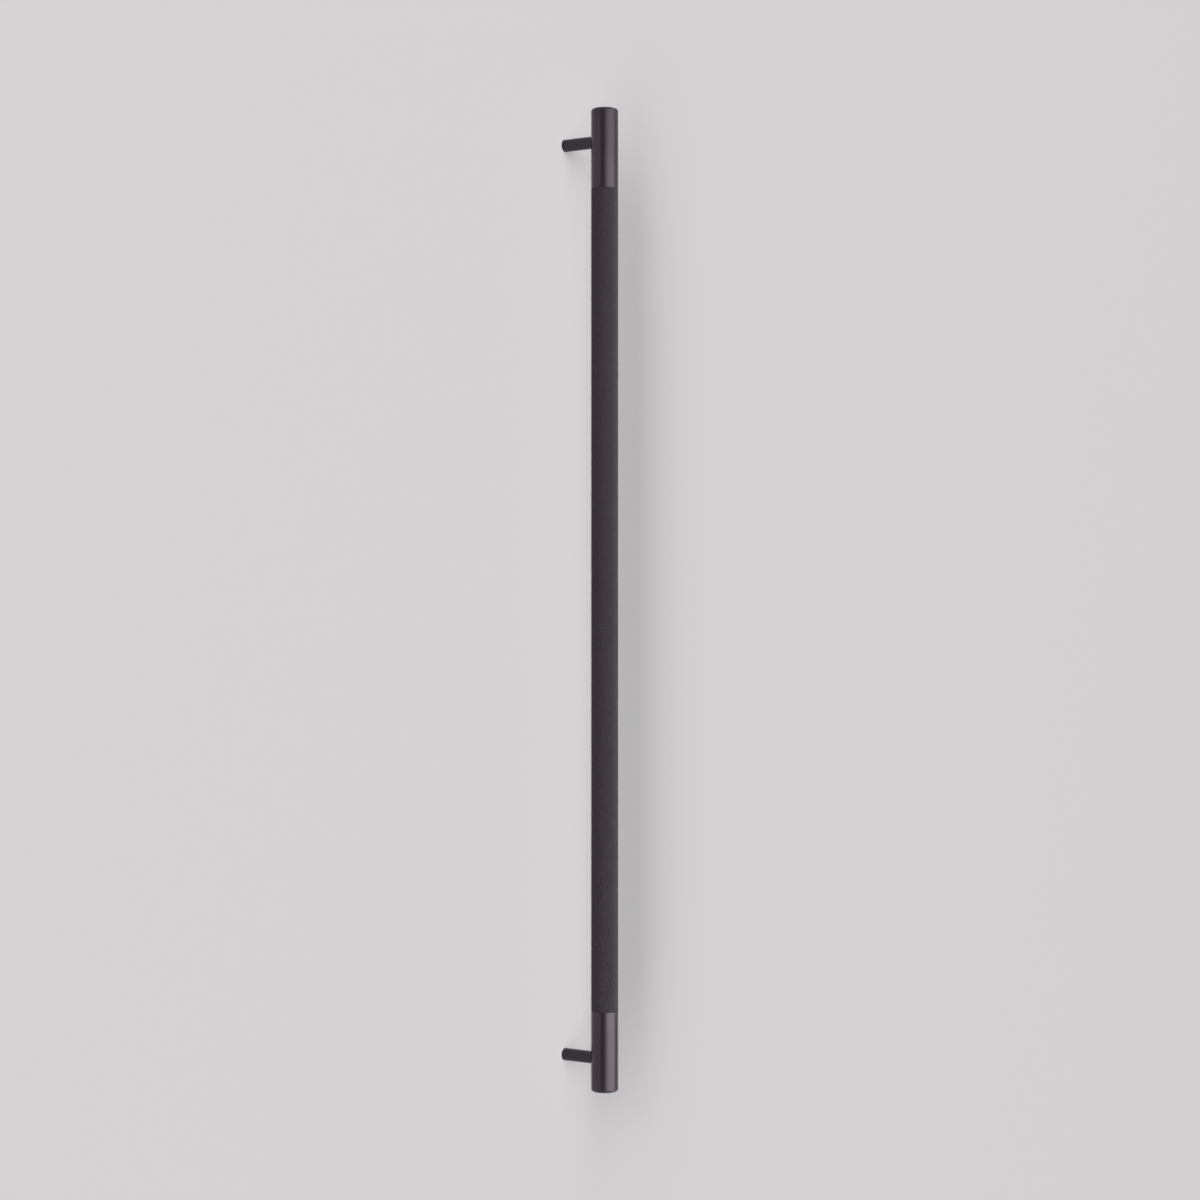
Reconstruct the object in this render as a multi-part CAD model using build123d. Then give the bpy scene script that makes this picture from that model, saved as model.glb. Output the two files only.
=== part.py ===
from build123d import *
import os
from math import radians, sqrt, tan

# Long door pull: one turned bar with a knurled grip, held off the door by two turned posts.
# The frame has +Z up along the bar and +Y into the door. Its origin lies on the door's face,
# midway between the posts. Sizes are in millimetres.

# Grip bar, turned from one solid rod
bar_diameter = 22.0
bar_length = 796.0
bar_end_radius = 2.0  # rounding of the rim at each end
plain_end_length = 65.0  # smooth stretch from each end to the relief groove
relief_depth = 0.35  # as deep as the knurl's teeth
relief_shoulder = 0.25  # length of the chamfer from the plain end down to the groove's floor
relief_width = 0.25  # floor of the groove where the knurling stops
knurl_lead = 0.35  # length of the slope from the floor up to the knurled surface

# Posts, turned from thinner rod
post_diameter = 10.0
post_inset = 26.0  # end of the bar to the axis of the post
standoff = 38.4  # face of the door to the axis of the bar
post_edge_break = 0.3  # small chamfer at both ends of a post
seat_lip = 1.0  # depth of the seat in the bar where its rim is lowest
seat_clearance = 0.05  # gap round the post in its seat

# Set screw that joins a post to the bar, half its length in each
screw_diameter = 6.0
screw_length = 14.0
screw_end_chamfer = 0.7
screw_socket_width = 3.0  # across the flats of the hexagon
screw_socket_depth = 3.5
screw_end_room = 1.0  # hole left over past each end of the screw
thread_clearance = 0.05  # gap round the screw, whose thread is drawn as a plain cylinder

# Blind hole in the post that takes the bolt through the door
door_bolt_diameter = 5.0
door_hole_countersink = 0.5
post_web = 6.0  # solid metal between the two holes of a post
drill_point_angle = 118.0


def drill_point(diameter):
    # Height of the cone that a drill leaves at the bottom of a blind hole
    return diameter / 2 / tan(radians(drill_point_angle / 2))


# Worked out from the sizes above
bar_radius = bar_diameter / 2
post_radius = post_diameter / 2
post_height = bar_length / 2 - post_inset
seat_radius = post_radius + seat_clearance
seat_floor = sqrt(bar_radius**2 - seat_radius**2) - seat_lip  # from the bar's axis
post_length = standoff - seat_floor
screw_hole_diameter = screw_diameter + 2 * thread_clearance
screw_hole_depth = screw_length / 2 + screw_end_room
screw_hole_reach = screw_hole_depth + drill_point(screw_hole_diameter)
door_hole_depth = post_length - screw_hole_reach - post_web - drill_point(door_bolt_diameter)

standing = (Align.CENTER, Align.CENTER, Align.MIN)
facing_back = Rot(X=180)
on_bar_axis = Pos(0, -standoff, 0)


def at_seat(side):
    # Place whose origin is the middle of a seat's floor, with its own +Z towards the door
    return Pos(0, -post_length, side * post_height) * Rot(X=-90)


def drilled_hole(diameter, depth):
    # Blind hole that runs up from the origin and ends in a drill point
    point = Pos(0, 0, depth) * Cone(diameter / 2, 0, drill_point(diameter), align=standing)
    return Cylinder(diameter / 2, depth, align=standing) + point


def relief_groove():
    # Ring taken out at the upper end of the knurl: a chamfer, a narrow floor and a slope to the grip
    shoulder_top = bar_length / 2 - plain_end_length
    floor_top = shoulder_top - relief_shoulder
    floor_bottom = floor_top - relief_width
    slope_end = floor_bottom - knurl_lead
    floor_radius = bar_radius - relief_depth
    clear_radius = bar_radius + relief_depth
    section = Polygon(
        (bar_radius, shoulder_top),
        (floor_radius, floor_top),
        (floor_radius, floor_bottom),
        (bar_radius, slope_end),
        (clear_radius, slope_end),
        (clear_radius, shoulder_top),
    )
    return revolve(Plane.XZ * section, Axis.Z)


def post_seat():
    # Flat-bottomed pocket for the end of a post, with the screw's hole on past its floor
    pocket = Cylinder(seat_radius, bar_radius, align=standing)
    return pocket + facing_back * drilled_hole(screw_hole_diameter, screw_hole_depth)


def grip_bar():
    rod = Cylinder(bar_radius, bar_length)
    rims = rod.edges().filter_by(GeomType.CIRCLE)
    rod = fillet(rims, bar_end_radius)
    groove = relief_groove()
    rod -= groove
    rod -= mirror(groove, about=Plane.XY)
    bar = on_bar_axis * rod
    for side in (1, -1):
        bar -= at_seat(side) * post_seat()
    return bar


def post():
    # Stands on the seat's floor and ends at the door
    body = Cylinder(post_radius, post_length, align=standing)
    body = chamfer(body.edges().filter_by(GeomType.CIRCLE), post_edge_break)
    body -= drilled_hole(screw_hole_diameter, screw_hole_depth)
    mouth_radius = door_bolt_diameter / 2 + door_hole_countersink
    countersink = Cone(mouth_radius, door_bolt_diameter / 2, door_hole_countersink, align=standing)
    door_hole = drilled_hole(door_bolt_diameter, door_hole_depth) + countersink
    return body - Pos(0, 0, post_length) * facing_back * door_hole


def joining_screw():
    # Half below the seat's floor in the bar and half above it in the post, key socket to the post
    body = Cylinder(screw_diameter / 2, screw_length)
    body = chamfer(body.edges().filter_by(GeomType.CIRCLE), screw_end_chamfer)
    hexagon = RegularPolygon(screw_socket_width / 2, 6, major_radius=False)
    socket = extrude(hexagon, screw_socket_depth)
    return body - Pos(0, 0, screw_length / 2 - screw_socket_depth) * socket


pieces = {"grip_bar": grip_bar()}
for name, side in (("upper", 1), ("lower", -1)):
    pieces[f"{name}_post"] = at_seat(side) * post()
    pieces[f"{name}_joining_screw"] = at_seat(side) * joining_screw()

os.makedirs("parts", exist_ok=True)
for name, piece in pieces.items():
    export_step(piece, f"parts/{name}.step")
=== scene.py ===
from math import ceil, cos, pi, radians, sin, tan

import bmesh
import bpy
from mathutils import Matrix, Vector


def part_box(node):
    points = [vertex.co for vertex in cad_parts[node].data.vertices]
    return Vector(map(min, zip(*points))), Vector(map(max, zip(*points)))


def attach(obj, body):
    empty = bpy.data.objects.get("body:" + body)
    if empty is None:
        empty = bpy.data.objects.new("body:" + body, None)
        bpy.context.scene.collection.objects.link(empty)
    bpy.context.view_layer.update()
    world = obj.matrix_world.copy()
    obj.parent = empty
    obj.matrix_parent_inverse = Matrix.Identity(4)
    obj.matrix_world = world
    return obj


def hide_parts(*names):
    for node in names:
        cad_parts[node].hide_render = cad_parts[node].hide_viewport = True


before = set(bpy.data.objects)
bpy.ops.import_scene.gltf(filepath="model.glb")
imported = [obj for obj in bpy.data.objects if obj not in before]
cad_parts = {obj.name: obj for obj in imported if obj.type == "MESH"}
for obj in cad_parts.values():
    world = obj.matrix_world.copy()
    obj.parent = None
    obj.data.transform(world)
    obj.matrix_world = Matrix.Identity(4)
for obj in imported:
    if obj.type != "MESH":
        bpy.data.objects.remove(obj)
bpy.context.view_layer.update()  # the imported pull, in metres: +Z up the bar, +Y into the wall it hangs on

mm = 0.001
touching = 0.001 * mm  # points this near count as one
weldReach = 0.002 * mm  # parts of one mesh are joined across this
sharpAngle = radians(30)  # edges that bend more than this stay crisp

# places that the pieces share, read from the CAD nodes
barLow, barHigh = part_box("grip_bar")
postLow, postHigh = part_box("upper_post")
barRadius = (barHigh.x - barLow.x) / 2
barHalf = (barHigh.z - barLow.z) / 2
barY = barHigh.y - barRadius  # axis of the bar, in front of the wall
postRadius = (postHigh.x - postLow.x) / 2
postHeight = (postLow.z + postHigh.z) / 2
seatY = postLow.y  # floor of the seat in the back of the bar
baseY = postHigh.y  # where the posts stand on the wall


def linear(hexColour):  # sRGB hex to the linear values that a socket takes
    parts = [int(hexColour[i:i + 2], 16) / 255 for i in (1, 3, 5)]
    return [c / 12.92 if c <= 0.04045 else ((c + 0.055) / 1.055) ** 2.4 for c in parts] + [1]


def add(tree, kind, inputs=None, **settings):  # one node with its settings, values and links
    node = tree.nodes.new(kind)
    for name, value in settings.items():
        setattr(node, name, value)
    for socket, value in (inputs or {}).items():
        if isinstance(value, bpy.types.NodeSocket):
            tree.links.new(value, node.inputs[socket])
        else:
            node.inputs[socket].default_value = value
    return node


def newMaterial(name, metallic):
    material = bpy.data.materials.new(name)
    material.use_nodes = True
    shader = material.node_tree.nodes["Principled BSDF"]
    shader.inputs["Metallic"].default_value = metallic
    return material, material.node_tree, shader


def turnedLines(tree, axis, centre):  # distances from the turning axis and along the turned surface
    coords = add(tree, "ShaderNodeTexCoord")
    # folded at the middle of the pull, so that both posts share one centre
    folded = add(tree, "ShaderNodeVectorMath", {0: coords.outputs["Object"]}, operation="ABSOLUTE")
    centred = add(tree, "ShaderNodeVectorMath", {0: folded.outputs[0], 1: centre}, operation="SUBTRACT")
    across = [1 - a for a in axis]
    radial = add(tree, "ShaderNodeVectorMath", {0: centred.outputs[0], 1: across}, operation="MULTIPLY")
    distance = add(tree, "ShaderNodeVectorMath", {0: radial.outputs[0]}, operation="LENGTH")
    height = add(tree, "ShaderNodeVectorMath", {0: centred.outputs[0], 1: axis}, operation="DOT_PRODUCT")
    along = add(tree, "ShaderNodeMath", {0: distance.outputs["Value"], 1: height.outputs["Value"]})
    return coords.outputs["Object"], distance.outputs["Value"], along.outputs[0]


# satin dark bronze: turned brass, darkened and lacquered, so it is dark with a wide soft
# highlight, faint rings from the lathe and a slightly cloudy patina
bronze = {
    "bar": ("#4a434b", "#544c54"),  # darkest and palest of the patina
    # the posts' copy is painted a shade darker than the bar's: painted shade standing in for the darker
    # surroundings that the posts mirror
    "post": ("#3f3c43", "#47444b"),
    "cloudSize": 20 * mm,
    "ringSpacing": 0.6 * mm,  # real rings are finer: drawn coarser so that they show close up
    "ringHeight": 0.004 * mm,
    "roughness": (0.27, 0.35),
}


def satinBronze(name, shades, axis, centre):
    material, tree, shader = newMaterial(name, metallic=1)
    coords, _, along = turnedLines(tree, axis, centre)
    rings = add(tree, "ShaderNodeTexNoise", {"W": along, "Scale": 1 / bronze["ringSpacing"], "Detail": 3},
                noise_dimensions="1D")
    clouds = add(tree, "ShaderNodeTexNoise", {"Vector": coords, "Scale": 1 / bronze["cloudSize"],
                                              "Detail": 4})
    dark, pale = [linear(shade) for shade in shades]
    colour = add(tree, "ShaderNodeMix", {0: clouds.outputs[0], 6: dark, 7: pale}, data_type="RGBA")
    low, high = bronze["roughness"]
    gloss = add(tree, "ShaderNodeMapRange", {"Value": rings.outputs[0], "To Min": low, "To Max": high})
    bump = add(tree, "ShaderNodeBump", {"Height": rings.outputs[0], "Distance": bronze["ringHeight"]})
    tree.links.new(colour.outputs[2], shader.inputs["Base Color"])
    tree.links.new(gloss.outputs[0], shader.inputs["Roughness"])
    tree.links.new(bump.outputs[0], shader.inputs["Normal"])
    return material


# the same bronze on cut teeth, duller down in the grooves; its colour runs from darker in the grooves to a
# little brighter on the points, painted shade in the hollows and painted light on the points
teeth = {
    "groove": "#474249",
    "point": "#6c636c",
    "roughness": (0.74, 0.64),
    "grit": 0.15 * mm,  # coarser than the real one, so that it shows close up
    "gritHeight": 0.004 * mm,
}


def knurledBronze(name, rootRadius, crestRadius):
    material, tree, shader = newMaterial(name, metallic=1)
    coords, distance, _ = turnedLines(tree, (0, 0, 1), (0, -barY, 0))
    # colour by height of the tooth: painted shade down in the grooves, painted light on the points
    height = add(tree, "ShaderNodeMapRange", {"Value": distance, "From Min": rootRadius,
                                              "From Max": crestRadius})
    groove, point = linear(teeth["groove"]), linear(teeth["point"])
    colour = add(tree, "ShaderNodeMix", {0: height.outputs[0], 6: groove, 7: point}, data_type="RGBA")
    low, high = teeth["roughness"]
    gloss = add(tree, "ShaderNodeMapRange", {"Value": height.outputs[0], "To Min": low, "To Max": high})
    grit = add(tree, "ShaderNodeTexNoise", {"Vector": coords, "Scale": 1 / teeth["grit"]})
    bump = add(tree, "ShaderNodeBump", {"Height": grit.outputs[0], "Distance": teeth["gritHeight"]})
    tree.links.new(colour.outputs[2], shader.inputs["Base Color"])
    tree.links.new(gloss.outputs[0], shader.inputs["Roughness"])
    tree.links.new(bump.outputs[0], shader.inputs["Normal"])
    return material


# bare metals that only show inside: cut brass gives the threads a warm glint, plain steel leaves
# the set screws cool and grey, and the grain of both is drawn coarse enough to show
bareMetals = {
    "cutBrass": {"dark": "#86703f", "pale": "#a68a54", "roughness": 0.32, "grain": 0.5 * mm},
    "plainSteel": {"dark": "#6f6f73", "pale": "#8b8b8f", "roughness": 0.38, "grain": 0.8 * mm},
}


def bareMetal(name):
    look = bareMetals[name]
    material, tree, shader = newMaterial(name, metallic=1)
    coords = add(tree, "ShaderNodeTexCoord")
    grain = add(tree, "ShaderNodeTexNoise", {"Vector": coords.outputs["Object"], "Scale": 1 / look["grain"]})
    dark, pale = linear(look["dark"]), linear(look["pale"])
    colour = add(tree, "ShaderNodeMix", {0: grain.outputs[0], 6: dark, 7: pale}, data_type="RGBA")
    tree.links.new(colour.outputs[2], shader.inputs["Base Color"])
    shader.inputs["Roughness"].default_value = look["roughness"]
    return material


# mesh helpers
def lathe(profile, segments):  # turns (radius, height) points round Z, a radius of 0 becomes a pole
    work = bmesh.new()
    rings = []
    for radius, height in profile:
        steps = segments if radius > 0 else 1
        turn = [2 * pi * i / segments for i in range(steps)]
        rings.append([work.verts.new((radius * cos(a), radius * sin(a), height)) for a in turn])
    for lower, upper in zip(rings, rings[1:]):
        for i in range(segments):
            j = (i + 1) % segments
            corners = [lower[i % len(lower)], lower[j % len(lower)]]
            corners += [upper[j % len(upper)], upper[i % len(upper)]]
            work.faces.new(list(dict.fromkeys(corners)))
    bmesh.ops.recalc_face_normals(work, faces=work.faces)
    return work


def toMesh(work, name):
    mesh = bpy.data.meshes.new(name)
    work.to_mesh(mesh)
    work.free()
    return mesh


def toObject(mesh, name):
    piece = bpy.data.objects.new(name, mesh)
    bpy.context.collection.objects.link(piece)
    return piece


def evaluatedMesh(piece):
    return bpy.data.meshes.new_from_object(piece.evaluated_get(bpy.context.evaluated_depsgraph_get()))


def meshFromNodes(tree, values):  # runs a node tree on an empty mesh and keeps the plain result
    holder = toObject(bpy.data.meshes.new(tree.name), tree.name)
    modifier = holder.modifiers.new(tree.name, "NODES")
    modifier.node_group = tree
    sockets = {s.name: s.identifier for s in tree.interface.items_tree if s.in_out == "INPUT"}
    for label, value in values.items():
        modifier[sockets[label]] = value
    mesh = evaluatedMesh(holder)
    holder.modifiers.remove(modifier)
    bpy.data.objects.remove(holder)
    return mesh


def newTree(name, inputs):  # geometry tree with named inputs, its input node and an output to link to
    tree = bpy.data.node_groups.new(name, "GeometryNodeTree")
    for label, kind in inputs.items():
        tree.interface.new_socket(label, in_out="INPUT", socket_type=kind)
    tree.interface.new_socket("Geometry", in_out="OUTPUT", socket_type="NodeSocketGeometry")
    return tree, add(tree, "NodeGroupInput").outputs, add(tree, "NodeGroupOutput")


def smooth(mesh, flatMaterial=None):  # smooth faces with sharp corners, teeth stay flat triangles
    for polygon in mesh.polygons:
        polygon.use_smooth = polygon.material_index != flatMaterial or len(polygon.vertices) > 3
    mesh.set_sharp_from_angle(angle=sharpAngle)


def drillPoint(radius):  # depth of the cone that a drill leaves at the bottom of a blind hole
    return radius / tan(radians(post["drillPointAngle"] / 2))


def atSeat(side):  # from a post's own frame, +Z to the wall and 0 on the seat, to its place
    return Matrix.Translation((0, seatY, side * postHeight)) @ Matrix.Rotation(-pi / 2, 4, "X")


# turned bar with a knurled grip
knurl = {
    "starts": 48,  # grooves each way round the bar
    "helixAngle": 45,  # degrees between a groove and the bar
    "depth": 0.35 * mm,
}
bar = {
    "rimRadius": 2.0 * mm,
    "rimSteps": 10,
    "plainEnd": 65.0 * mm,
    "reliefDepth": 0.35 * mm,
    "reliefShoulder": 0.25 * mm,
    "reliefWidth": 0.25 * mm,
    "knurlLead": 0.35 * mm,
    "holdingRing": 0.2 * mm,  # keeps the shading of flat and round apart
    "seatClearance": 0.05 * mm,
}
post = {
    "segments": 64,
    "edgeBreak": 0.3 * mm,
    "screwHoleRadius": 3.05 * mm,
    "screwHoleDepth": 8.0 * mm,
    "boltRadius": 2.5 * mm,
    "countersink": 0.5 * mm,
    "web": 6.0 * mm,  # metal left between the two holes
    "drillPointAngle": 118,
}

shoulderTop = barHalf - bar["plainEnd"]  # where the plain end stops
grooveOuter = shoulderTop - bar["reliefShoulder"]
grooveInner = grooveOuter - bar["reliefWidth"]
knurlEnd = grooveInner - bar["knurlLead"]
grooveRadius = barRadius - bar["reliefDepth"]
rootRadius = barRadius - knurl["depth"]
axialPitch = 2 * pi * barRadius / knurl["starts"] / tan(radians(knurl["helixAngle"]))
knurlRows = 2 * round(2 * knurlEnd / axialPitch) + 2  # half teeth along the grip and a slope at each end


def knurlNodes(material):
    tree, size, out = newTree("knurledGrip", {
        "Starts": "NodeSocketInt", "Rows": "NodeSocketInt",
        "Root": "NodeSocketFloat", "Crest": "NodeSocketFloat", "Groove": "NodeSocketFloat",
        "Knurl End": "NodeSocketFloat", "Slope End": "NodeSocketFloat",
        "Bar Y": "NodeSocketFloat", "Finish": "NodeSocketMaterial"})
    around = add(tree, "ShaderNodeMath", {0: size["Starts"], 1: 2}, operation="MULTIPLY")
    columns = add(tree, "ShaderNodeMath", {0: around.outputs[0], 1: 1})
    lines = add(tree, "ShaderNodeMath", {0: size["Rows"], 1: 1})
    grid = add(tree, "GeometryNodeMeshGrid", {"Size X": 1, "Size Y": 1, "Vertices X": columns.outputs[0],
                                              "Vertices Y": lines.outputs[0]})
    flat = add(tree, "ShaderNodeSeparateXYZ", {0: add(tree, "GeometryNodeInputPosition").outputs[0]})
    # column and row of each point, counted from one corner of the flat grid
    columnPart = add(tree, "ShaderNodeMath", {0: flat.outputs["X"], 1: 0.5})
    columnWide = add(tree, "ShaderNodeMath", {0: columnPart.outputs[0], 1: around.outputs[0]},
                     operation="MULTIPLY")
    column = add(tree, "ShaderNodeMath", {0: columnWide.outputs[0]}, operation="ROUND")
    rowPart = add(tree, "ShaderNodeMath", {0: flat.outputs["Y"], 1: 0.5})
    rowWide = add(tree, "ShaderNodeMath", {0: rowPart.outputs[0], 1: size["Rows"]}, operation="MULTIPLY")
    row = add(tree, "ShaderNodeMath", {0: rowWide.outputs[0]}, operation="ROUND")
    # every second point is the tip of a tooth, those between are crossings of two grooves
    count = add(tree, "ShaderNodeMath", {0: column.outputs[0], 1: row.outputs[0]})
    tip = add(tree, "ShaderNodeMath", {0: count.outputs[0], 1: 2}, operation="FLOORED_MODULO")
    toothRadius = add(tree, "ShaderNodeMapRange", {"Value": tip.outputs[0], "To Min": size["Root"],
                                                   "To Max": size["Crest"]})
    # the first and last rows lie on the floors of the relief grooves
    lastRow = add(tree, "ShaderNodeMath", {0: size["Rows"], 1: 1}, operation="SUBTRACT")
    toothHeight = add(tree, "ShaderNodeMapRange", {"Value": row.outputs[0], "From Min": 1,
                                                   "From Max": lastRow.outputs[0]})
    lowEnd = add(tree, "ShaderNodeMath", {0: size["Knurl End"], 1: -1}, operation="MULTIPLY")
    tree.links.new(lowEnd.outputs[0], toothHeight.inputs["To Min"])
    tree.links.new(size["Knurl End"], toothHeight.inputs["To Max"])
    side = add(tree, "ShaderNodeMath", {0: flat.outputs["Y"]}, operation="SIGN")
    slopeHeight = add(tree, "ShaderNodeMath", {0: side.outputs[0], 1: size["Slope End"]},
                      operation="MULTIPLY")
    fromMiddle = add(tree, "ShaderNodeMath", {0: flat.outputs["Y"]}, operation="ABSOLUTE")
    rowStep = add(tree, "ShaderNodeMath", {0: 0.5, 1: size["Rows"]}, operation="DIVIDE")
    brink = add(tree, "ShaderNodeMath", {0: 0.5, 1: rowStep.outputs[0]}, operation="SUBTRACT")
    atEnd = add(tree, "ShaderNodeMath", {0: fromMiddle.outputs[0], 1: brink.outputs[0]},
                operation="GREATER_THAN")
    radius = add(tree, "ShaderNodeMix", {0: atEnd.outputs[0], 2: toothRadius.outputs[0], 3: size["Groove"]})
    height = add(tree, "ShaderNodeMix", {0: atEnd.outputs[0], 2: toothHeight.outputs[0],
                                         3: slopeHeight.outputs[0]})
    # wrapped round the bar
    halfTurns = add(tree, "ShaderNodeMath", {0: column.outputs[0], 1: size["Starts"]}, operation="DIVIDE")
    angle = add(tree, "ShaderNodeMath", {0: halfTurns.outputs[0], 1: pi}, operation="MULTIPLY")
    cosine = add(tree, "ShaderNodeMath", {0: angle.outputs[0]}, operation="COSINE")
    sine = add(tree, "ShaderNodeMath", {0: angle.outputs[0]}, operation="SINE")
    x = add(tree, "ShaderNodeMath", {0: cosine.outputs[0], 1: radius.outputs[0]}, operation="MULTIPLY")
    y = add(tree, "ShaderNodeMath", {0: sine.outputs[0], 1: radius.outputs[0], 2: size["Bar Y"]},
            operation="MULTIPLY_ADD")
    round3d = add(tree, "ShaderNodeCombineXYZ", {0: x.outputs[0], 1: y.outputs[0], 2: height.outputs[0]})
    wrapped = add(tree, "GeometryNodeSetPosition", {"Geometry": grid.outputs["Mesh"],
                                                    "Position": round3d.outputs[0]})
    closed = add(tree, "GeometryNodeMergeByDistance", {"Geometry": wrapped.outputs[0],
                                                       "Distance": touching})
    # the short diagonal of each cell lies in a groove, so the teeth come out as clean pyramids
    cut = add(tree, "GeometryNodeTriangulate", {"Mesh": closed.outputs[0]}, quad_method="SHORTEST_DIAGONAL")
    real = add(tree, "GeometryNodeRealizeInstances", {"Geometry": cut.outputs[0]})
    done = add(tree, "GeometryNodeSetMaterial", {"Geometry": real.outputs[0], "Material": size["Finish"]})
    tree.links.new(done.outputs[0], out.inputs[0])
    return meshFromNodes(tree, {
        "Starts": knurl["starts"], "Rows": knurlRows, "Root": rootRadius, "Crest": barRadius,
        "Groove": grooveRadius, "Knurl End": knurlEnd, "Slope End": grooveInner, "Bar Y": barY,
        "Finish": material})


def barEnd():  # upper plain end, from the floor of the groove to the end face, with the seat for its post
    rim = bar["rimRadius"]
    hold = bar["holdingRing"]
    band = 2 * postRadius  # reach of the band that the seat is cut from, above and below its middle
    profile = [
        (0, grooveInner), (grooveRadius, grooveInner), (grooveRadius, grooveOuter),
        (barRadius, shoulderTop), (barRadius, shoulderTop + hold),
        (barRadius, postHeight - band), (barRadius, postHeight + band),
        (barRadius, barHalf - rim - hold)]
    for i in range(bar["rimSteps"] + 1):
        a = pi / 2 * i / bar["rimSteps"]
        profile.append((barRadius - rim + rim * cos(a), barHalf - rim + rim * sin(a)))
    profile += [(barRadius - rim - hold, barHalf), (0, barHalf)]
    work = lathe(profile, 2 * knurl["starts"])
    bmesh.ops.translate(work, vec=(0, barY, 0), verts=work.verts)
    end = toObject(toMesh(work, "plainEnd"), "plainEnd")

    holeRadius = post["screwHoleRadius"]
    holeDepth = post["screwHoleDepth"]
    seatRadius = postRadius + bar["seatClearance"]
    cutter = lathe([
        (0, -holeDepth - drillPoint(holeRadius)), (holeRadius, -holeDepth), (holeRadius, 0),
        (seatRadius, 0), (seatRadius, barRadius), (0, barRadius)], post["segments"])
    bmesh.ops.transform(cutter, matrix=atSeat(1), verts=cutter.verts)
    tool = toObject(toMesh(cutter, "seatCutter"), "seatCutter")
    seat = end.modifiers.new("seat", "BOOLEAN")
    seat.operation = "DIFFERENCE"
    seat.solver = "EXACT"
    seat.object = tool
    mesh = evaluatedMesh(end)
    bpy.data.objects.remove(tool)
    bpy.data.objects.remove(end)
    return mesh


def makeBar():
    finish = satinBronze("satinDarkBronzeBar", bronze["bar"], (0, 0, 1), (0, -barY, 0))
    gripFinish = knurledBronze("knurledDarkBronze", rootRadius, barRadius)
    work = bmesh.new()
    work.from_mesh(knurlNodes(gripFinish))
    for face in work.faces:
        face.material_index = 1
    end = barEnd()
    for side in (1, -1):
        half = bmesh.new()
        half.from_mesh(end)
        lid = [f for f in half.faces if all(abs(v.co.z - grooveInner) < touching for v in f.verts)]
        bmesh.ops.delete(half, geom=lid, context="FACES")
        for face in half.faces:  # the relief groove is as dull as the teeth and takes their darker groove colour, painted shade that draws a dark line at the groove
            face.material_index = int(all(v.co.z < shoulderTop + touching for v in face.verts))
        bmesh.ops.scale(half, vec=(1, 1, side), verts=half.verts)
        if side < 0:
            bmesh.ops.reverse_faces(half, faces=half.faces)
        work.from_mesh(toMesh(half, "halfBar"))
    bmesh.ops.remove_doubles(work, verts=work.verts, dist=weldReach)
    mesh = toMesh(work, "knurledBar")
    mesh.materials.append(finish)
    mesh.materials.append(gripFinish)
    smooth(mesh, flatMaterial=1)
    piece = toObject(mesh, "knurledBar")
    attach(piece, "root")
    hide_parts("grip_bar")
    triangles = sum(len(p.vertices) - 2 for p in mesh.polygons)
    print("bar:", knurl["starts"] * (knurlRows - 2), "teeth,", triangles, "triangles")


# cut thread in the posts' bolt holes
thread = {
    "pitch": 0.8 * mm,
    "height": 0.43 * mm,
    "rootFlat": 1 / 8,  # widths of the two flats, in parts of the pitch
    "crestFlat": 1 / 4,
}


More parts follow.
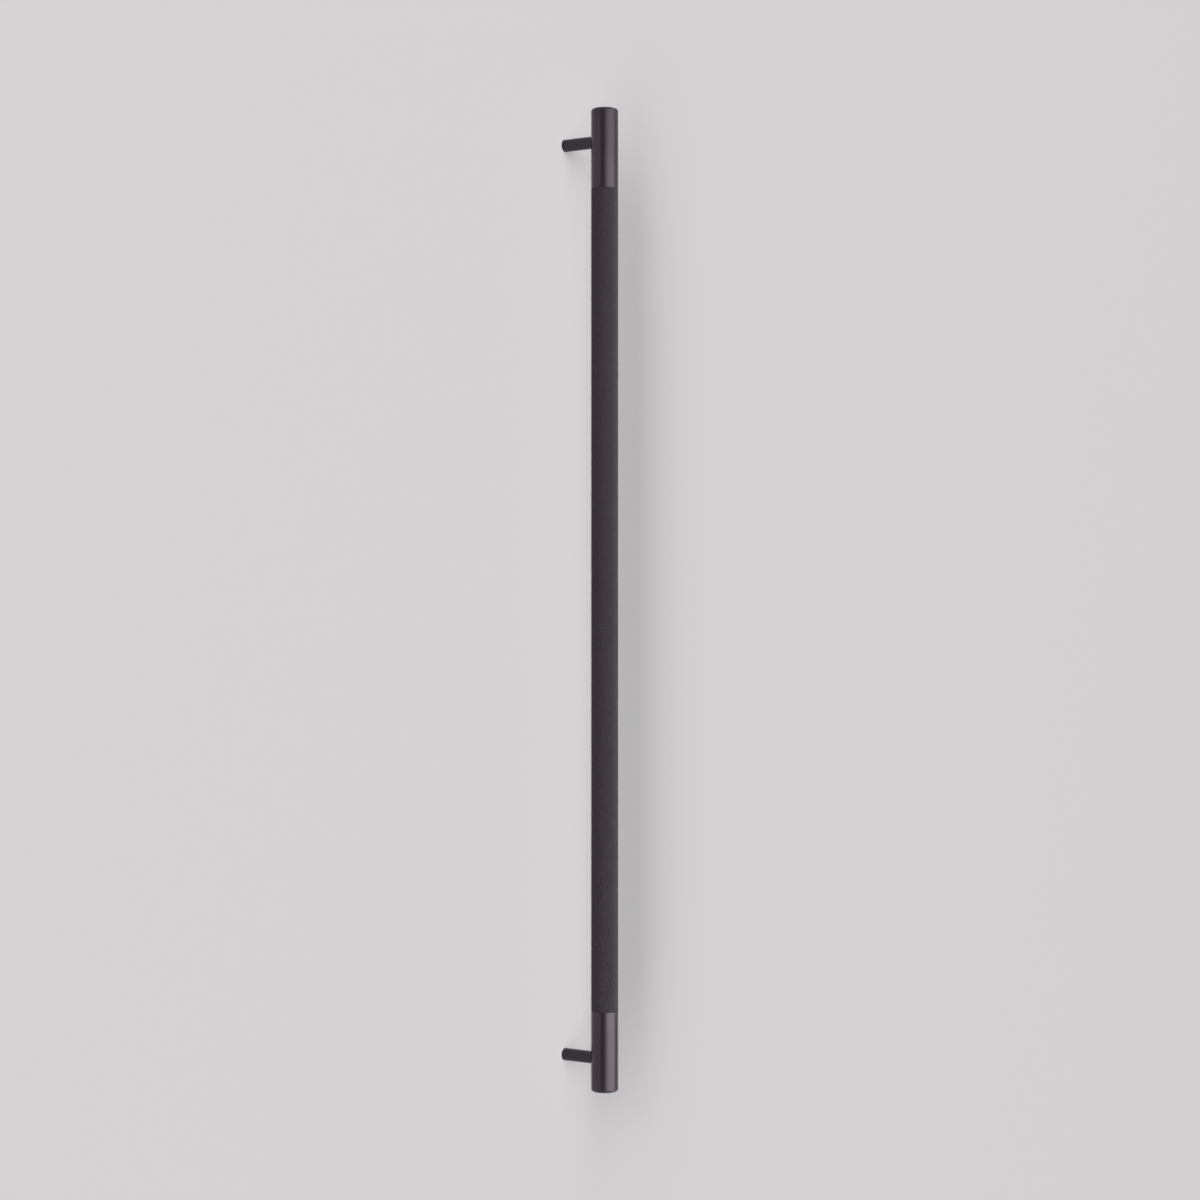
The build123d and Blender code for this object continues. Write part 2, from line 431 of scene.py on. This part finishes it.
def threadNodes(low, high, material):  # right-hand thread standing in from the wall of the bolt hole
    tree, size, out = newTree("boltThread", {
        "Segments": "NodeSocketInt", "Rows": "NodeSocketInt", "Pitch": "NodeSocketFloat",
        "Height": "NodeSocketFloat", "Wall": "NodeSocketFloat", "Low": "NodeSocketFloat",
        "High": "NodeSocketFloat", "Finish": "NodeSocketMaterial"})
    columns = add(tree, "ShaderNodeMath", {0: size["Segments"], 1: 1})
    lines = add(tree, "ShaderNodeMath", {0: size["Rows"], 1: 1})
    grid = add(tree, "GeometryNodeMeshGrid", {"Size X": 1, "Size Y": 1, "Vertices X": columns.outputs[0],
                                              "Vertices Y": lines.outputs[0]})
    flat = add(tree, "ShaderNodeSeparateXYZ", {0: add(tree, "GeometryNodeInputPosition").outputs[0]})
    turn = add(tree, "ShaderNodeMath", {0: flat.outputs["X"], 1: 0.5})
    rowPart = add(tree, "ShaderNodeMath", {0: flat.outputs["Y"], 1: 0.5})
    rowWide = add(tree, "ShaderNodeMath", {0: rowPart.outputs[0], 1: size["Rows"]}, operation="MULTIPLY")
    row = add(tree, "ShaderNodeMath", {0: rowWide.outputs[0]}, operation="ROUND")
    # four rows a turn: two for the narrow flat at the root, two for the wider one at the crest
    halfRow = add(tree, "ShaderNodeMath", {0: row.outputs[0], 1: 2}, operation="DIVIDE")
    flatCount = add(tree, "ShaderNodeMath", {0: halfRow.outputs[0]}, operation="FLOOR")
    farEdge = add(tree, "ShaderNodeMath", {0: row.outputs[0], 1: 2}, operation="FLOORED_MODULO")
    crest = add(tree, "ShaderNodeMath", {0: flatCount.outputs[0], 1: 2}, operation="FLOORED_MODULO")
    flatWidth = add(tree, "ShaderNodeMapRange", {"Value": crest.outputs[0], "To Min": thread["rootFlat"],
                                                 "To Max": thread["crestFlat"]})
    fromMiddle = add(tree, "ShaderNodeMath", {0: farEdge.outputs[0], 1: 0.5}, operation="SUBTRACT")
    middle = add(tree, "ShaderNodeMath", {0: flatCount.outputs[0], 1: 0.5, 2: turn.outputs[0]},
                 operation="MULTIPLY_ADD")
    edge = add(tree, "ShaderNodeMath", {0: fromMiddle.outputs[0], 1: flatWidth.outputs[0],
                                        2: middle.outputs[0]}, operation="MULTIPLY_ADD")
    climbed = add(tree, "ShaderNodeMath", {0: edge.outputs[0], 1: 1}, operation="SUBTRACT")
    rise = add(tree, "ShaderNodeMath", {0: climbed.outputs[0], 1: size["Pitch"], 2: size["Low"]},
               operation="MULTIPLY_ADD")
    height = add(tree, "ShaderNodeClamp", {"Value": rise.outputs[0], "Min": size["Low"],
                                           "Max": size["High"]})
    # the ridge fades out in the last part of a turn at both ends
    fromLow = add(tree, "ShaderNodeMath", {0: height.outputs[0], 1: size["Low"]}, operation="SUBTRACT")
    fromHigh = add(tree, "ShaderNodeMath", {0: size["High"], 1: height.outputs[0]}, operation="SUBTRACT")
    nearest = add(tree, "ShaderNodeMath", {0: fromLow.outputs[0], 1: fromHigh.outputs[0]},
                  operation="MINIMUM")
    fade = add(tree, "ShaderNodeMath", {0: nearest.outputs[0], 1: size["Pitch"]}, operation="DIVIDE",
               use_clamp=True)
    stand = add(tree, "ShaderNodeMath", {0: fade.outputs[0], 1: crest.outputs[0]}, operation="MULTIPLY")
    ridge = add(tree, "ShaderNodeMath", {0: stand.outputs[0], 1: size["Height"]}, operation="MULTIPLY")
    radius = add(tree, "ShaderNodeMath", {0: size["Wall"], 1: ridge.outputs[0]}, operation="SUBTRACT")
    angle = add(tree, "ShaderNodeMath", {0: turn.outputs[0], 1: 2 * pi}, operation="MULTIPLY")
    cosine = add(tree, "ShaderNodeMath", {0: angle.outputs[0]}, operation="COSINE")
    sine = add(tree, "ShaderNodeMath", {0: angle.outputs[0]}, operation="SINE")
    x = add(tree, "ShaderNodeMath", {0: cosine.outputs[0], 1: radius.outputs[0]}, operation="MULTIPLY")
    y = add(tree, "ShaderNodeMath", {0: sine.outputs[0], 1: radius.outputs[0]}, operation="MULTIPLY")
    round3d = add(tree, "ShaderNodeCombineXYZ", {0: x.outputs[0], 1: y.outputs[0], 2: height.outputs[0]})
    wrapped = add(tree, "GeometryNodeSetPosition", {"Geometry": grid.outputs["Mesh"],
                                                    "Position": round3d.outputs[0]})
    closed = add(tree, "GeometryNodeMergeByDistance", {"Geometry": wrapped.outputs[0],
                                                       "Distance": touching})
    real = add(tree, "GeometryNodeRealizeInstances", {"Geometry": closed.outputs[0]})
    done = add(tree, "GeometryNodeSetMaterial", {"Geometry": real.outputs[0], "Material": size["Finish"]})
    tree.links.new(done.outputs[0], out.inputs[0])
    turns = ceil((high - low) / thread["pitch"] + 1)
    return meshFromNodes(tree, {
        "Segments": post["segments"], "Rows": 4 * turns, "Pitch": thread["pitch"],
        "Height": thread["height"], "Wall": post["boltRadius"], "Low": low, "High": high,
        "Finish": material})


def postMesh(finish, threadFinish):  # one post in its own frame: turned outside, a blind hole in each end
    length = baseY - seatY
    edge = post["edgeBreak"]
    holeRadius = post["screwHoleRadius"]
    holeDepth = post["screwHoleDepth"]
    boltRadius = post["boltRadius"]
    mouth = length - post["countersink"]
    holeTop = holeDepth + drillPoint(holeRadius)
    boltEnd = holeTop + post["web"]
    boltFloor = boltEnd + drillPoint(boltRadius)
    work = lathe([
        (0, holeTop), (holeRadius, holeDepth), (holeRadius, 0),
        (postRadius - edge, 0), (postRadius, edge), (postRadius, length - edge), (postRadius - edge, length),
        (boltRadius + post["countersink"], length), (boltRadius, mouth)], post["segments"])
    bored = bmesh.new()
    bored.from_mesh(threadNodes(boltFloor, mouth, threadFinish))
    bored.from_mesh(toMesh(lathe([(boltRadius, boltFloor), (0, boltEnd)], post["segments"]), "drillPoint"))
    for face in bored.faces:
        face.material_index = 1
    work.from_mesh(toMesh(bored, "boredHole"))
    bmesh.ops.remove_doubles(work, verts=work.verts, dist=weldReach)
    bmesh.ops.recalc_face_normals(work, faces=work.faces)
    mesh = toMesh(work, "turnedPost")
    mesh.materials.append(finish)
    mesh.materials.append(threadFinish)
    smooth(mesh)
    return mesh


def makePosts():
    # the posts take the darker copy of the bronze, which is painted shade
    finish = satinBronze("satinDarkBronzePosts", bronze["post"], (0, 1, 0), (0, 0, postHeight))
    mesh = postMesh(finish, bareMetal("cutBrass"))
    for name, side in (("upper", 1), ("lower", -1)):
        placed = mesh.copy()
        placed.transform(atSeat(side))
        piece = toObject(placed, f"{name}TurnedPost")
        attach(piece, "root")
        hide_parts(f"{name}_post")
    bpy.data.meshes.remove(mesh)
    print("posts: length", round((baseY - seatY) / mm, 2), "mm, polygons", len(placed.polygons), "each")


def finishScrews():  # the joining screws keep their CAD shape
    steel = bareMetal("plainSteel")
    for name in ("upper", "lower"):
        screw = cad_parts[f"{name}_joining_screw"]
        screw.data.materials.clear()
        screw.data.materials.append(steel)
    print("screws: plain steel")


makeBar()
makePosts()
finishScrews()

# stage: a pale wall behind the pull, a pale floor below it, a pale room all round
stage = {
    "room": "#d4d2d3",
    "glow": 0.465,  # part of the wall's paleness that takes no shadow
    "width": 8.0,
    "height": 5.2,
    "depth": 4.0,
    "gap": 0.5 * mm,  # keeps the wall off the posts' feet
}


def palePaint():  # seen by eye and in the metal, and only from in front, so the back of the pull shows too
    material = bpy.data.materials.new("palePaint")
    material.use_nodes = True
    tree = material.node_tree
    tree.nodes.clear()
    paint = add(tree, "ShaderNodeBsdfDiffuse", {"Color": linear(stage["room"])})
    glow = add(tree, "ShaderNodeEmission", {"Color": linear(stage["room"]), "Strength": stage["glow"]})
    pale = add(tree, "ShaderNodeAddShader", {0: paint.outputs[0], 1: glow.outputs[0]})
    clear = add(tree, "ShaderNodeBsdfTransparent")
    path = add(tree, "ShaderNodeLightPath")
    mirrored = add(tree, "ShaderNodeMath", {0: path.outputs["Is Glossy Ray"],
                                            1: path.outputs["Is Transmission Ray"]})
    looked = add(tree, "ShaderNodeMath", {0: mirrored.outputs[0], 1: path.outputs["Is Camera Ray"]},
                 use_clamp=True)
    front = add(tree, "ShaderNodeMath", {0: 1, 1: add(tree, "ShaderNodeNewGeometry").outputs["Backfacing"]},
                operation="SUBTRACT")
    seen = add(tree, "ShaderNodeMath", {0: looked.outputs[0], 1: front.outputs[0]}, operation="MULTIPLY")
    mix = add(tree, "ShaderNodeMixShader", {0: seen.outputs[0], 1: clear.outputs[0], 2: pale.outputs[0]})
    add(tree, "ShaderNodeOutputMaterial", {"Surface": mix.outputs[0]})
    return material


def makeStage():
    side = stage["width"] / 2
    top = stage["height"] / 2
    wallY = baseY + stage["gap"]
    front = wallY - stage["depth"]
    back = wallY + stage["depth"]
    paint = palePaint()
    sheets = {
        "backdrop": [(-side, wallY, -top), (side, wallY, -top), (side, wallY, top), (-side, wallY, top)],
        "floor": [(-side, front, -top), (side, front, -top), (side, back, -top), (-side, back, -top)],
    }
    for name, corners in sheets.items():
        mesh = bpy.data.meshes.new(name)
        mesh.from_pydata(corners, [], [(0, 1, 2, 3)])
        mesh.materials.append(paint)
        toObject(mesh, name)
    print("stage: wall and floor")


makeStage()

# light: the pale room, soft cards that only the metal mirrors, a dim card beside the camera,
# and two tall strips that only light the wall, so the pull lays a soft shadow there
cards = {
    "frontCard": {"azimuth": -3, "elevation": -3, "distance": 2.8, "size": (4.6, 2.1), "watts": 77},
    "highCard": {"azimuth": 58, "elevation": 50, "distance": 2.8, "size": (5.0, 1.4), "watts": 22},
    "lowCard": {"azimuth": 58, "elevation": -50, "distance": 2.8, "size": (5.0, 1.4), "watts": 22},
}
cardColour = "#fffef5"  # faintly warm
strips = {  # far off, so that they light the wall evenly
    "sideStrip": {"azimuth": -73, "elevation": -3, "distance": 100, "size": (20, 143), "watts": 111000},
    "highStrip": {"azimuth": -64, "elevation": 42, "distance": 100, "size": (37, 163), "watts": 124000},
}
dimCard = {"azimuth": -81, "distance": 1.6, "size": (1.0, 1.8), "shade": "#5c5a5b"}


def towards(azimuth, elevation=0):  # degrees: 0 is straight in front of the pull, positive to its right
    a = radians(azimuth)
    e = radians(elevation)
    return Vector((sin(a) * cos(e), -cos(a) * cos(e), sin(e)))


def place(thing, away, distance):  # at a distance from the bar, facing it
    thing.location = Vector((0, barY, 0)) + away * distance
    thing.rotation_euler = (-away).to_track_quat("-Z", "Y").to_euler()


def makeDimCard():  # darkens one band of what the metal mirrors
    side, top = [length / 2 for length in dimCard["size"]]
    corners = [(-side, -top, 0), (side, -top, 0), (side, top, 0), (-side, top, 0)]
    mesh = bpy.data.meshes.new("dimCard")
    mesh.from_pydata(corners, [], [(0, 1, 2, 3)])
    material = bpy.data.materials.new("dimPaper")
    material.use_nodes = True
    tree = material.node_tree
    tree.nodes.clear()
    shade = add(tree, "ShaderNodeEmission", {"Color": linear(dimCard["shade"])})
    add(tree, "ShaderNodeOutputMaterial", {"Surface": shade.outputs[0]})
    mesh.materials.append(material)
    card = toObject(mesh, "dimCard")
    place(card, towards(dimCard["azimuth"]), dimCard["distance"])
    card.visible_camera = False
    card.visible_diffuse = False
    card.visible_shadow = False


def makeLamp(name, look):  # flat soft lamp, not seen itself
    data = bpy.data.lights.new(name, "AREA")
    data.shape = "RECTANGLE"
    data.size, data.size_y = look["size"]
    data.energy = look["watts"]
    lamp = toObject(data, name)
    place(lamp, towards(look["azimuth"], look["elevation"]), look["distance"])
    lamp.visible_camera = False
    return lamp


def makeLights():
    world = bpy.data.worlds.new("paleRoom")
    bpy.context.scene.world = world
    world.use_nodes = True
    world.node_tree.nodes["Background"].inputs["Color"].default_value = linear(stage["room"])
    world.cycles_visibility.diffuse = False  # the strips alone light the wall, so its shadow keeps its shape
    for name, card in cards.items():
        lamp = makeLamp(name, card)
        lamp.data.color = linear(cardColour)[:3]
        lamp.visible_diffuse = False
    for name, strip in strips.items():
        makeLamp(name, strip).visible_glossy = False
    print("light: room,", len(cards), "cards, dim card and", len(strips), "strips")


makeDimCard()
makeLights()

# camera: level with the middle of the bar, well round to its left
shot = {"azimuth": -58.8, "distance": 1.866, "lens": 69.04, "sensor": 36, "left": 3.8 * mm}


def makeCamera():
    camera = toObject(bpy.data.cameras.new("photoView"), "photoView")
    a = radians(shot["azimuth"])
    right = Vector((cos(a), sin(a), 0))
    aim = Vector((0, barY, 0)) - right * shot["left"]
    camera.location = aim + towards(shot["azimuth"]) * shot["distance"]
    camera.rotation_euler = (pi / 2, 0, a)
    camera.data.lens = shot["lens"]
    camera.data.sensor_width = shot["sensor"]
    bpy.context.scene.camera = camera
    print("camera:", shot["lens"], "mm at", shot["distance"], "m")


makeCamera()
bpy.context.scene.view_settings.view_transform = "Standard"
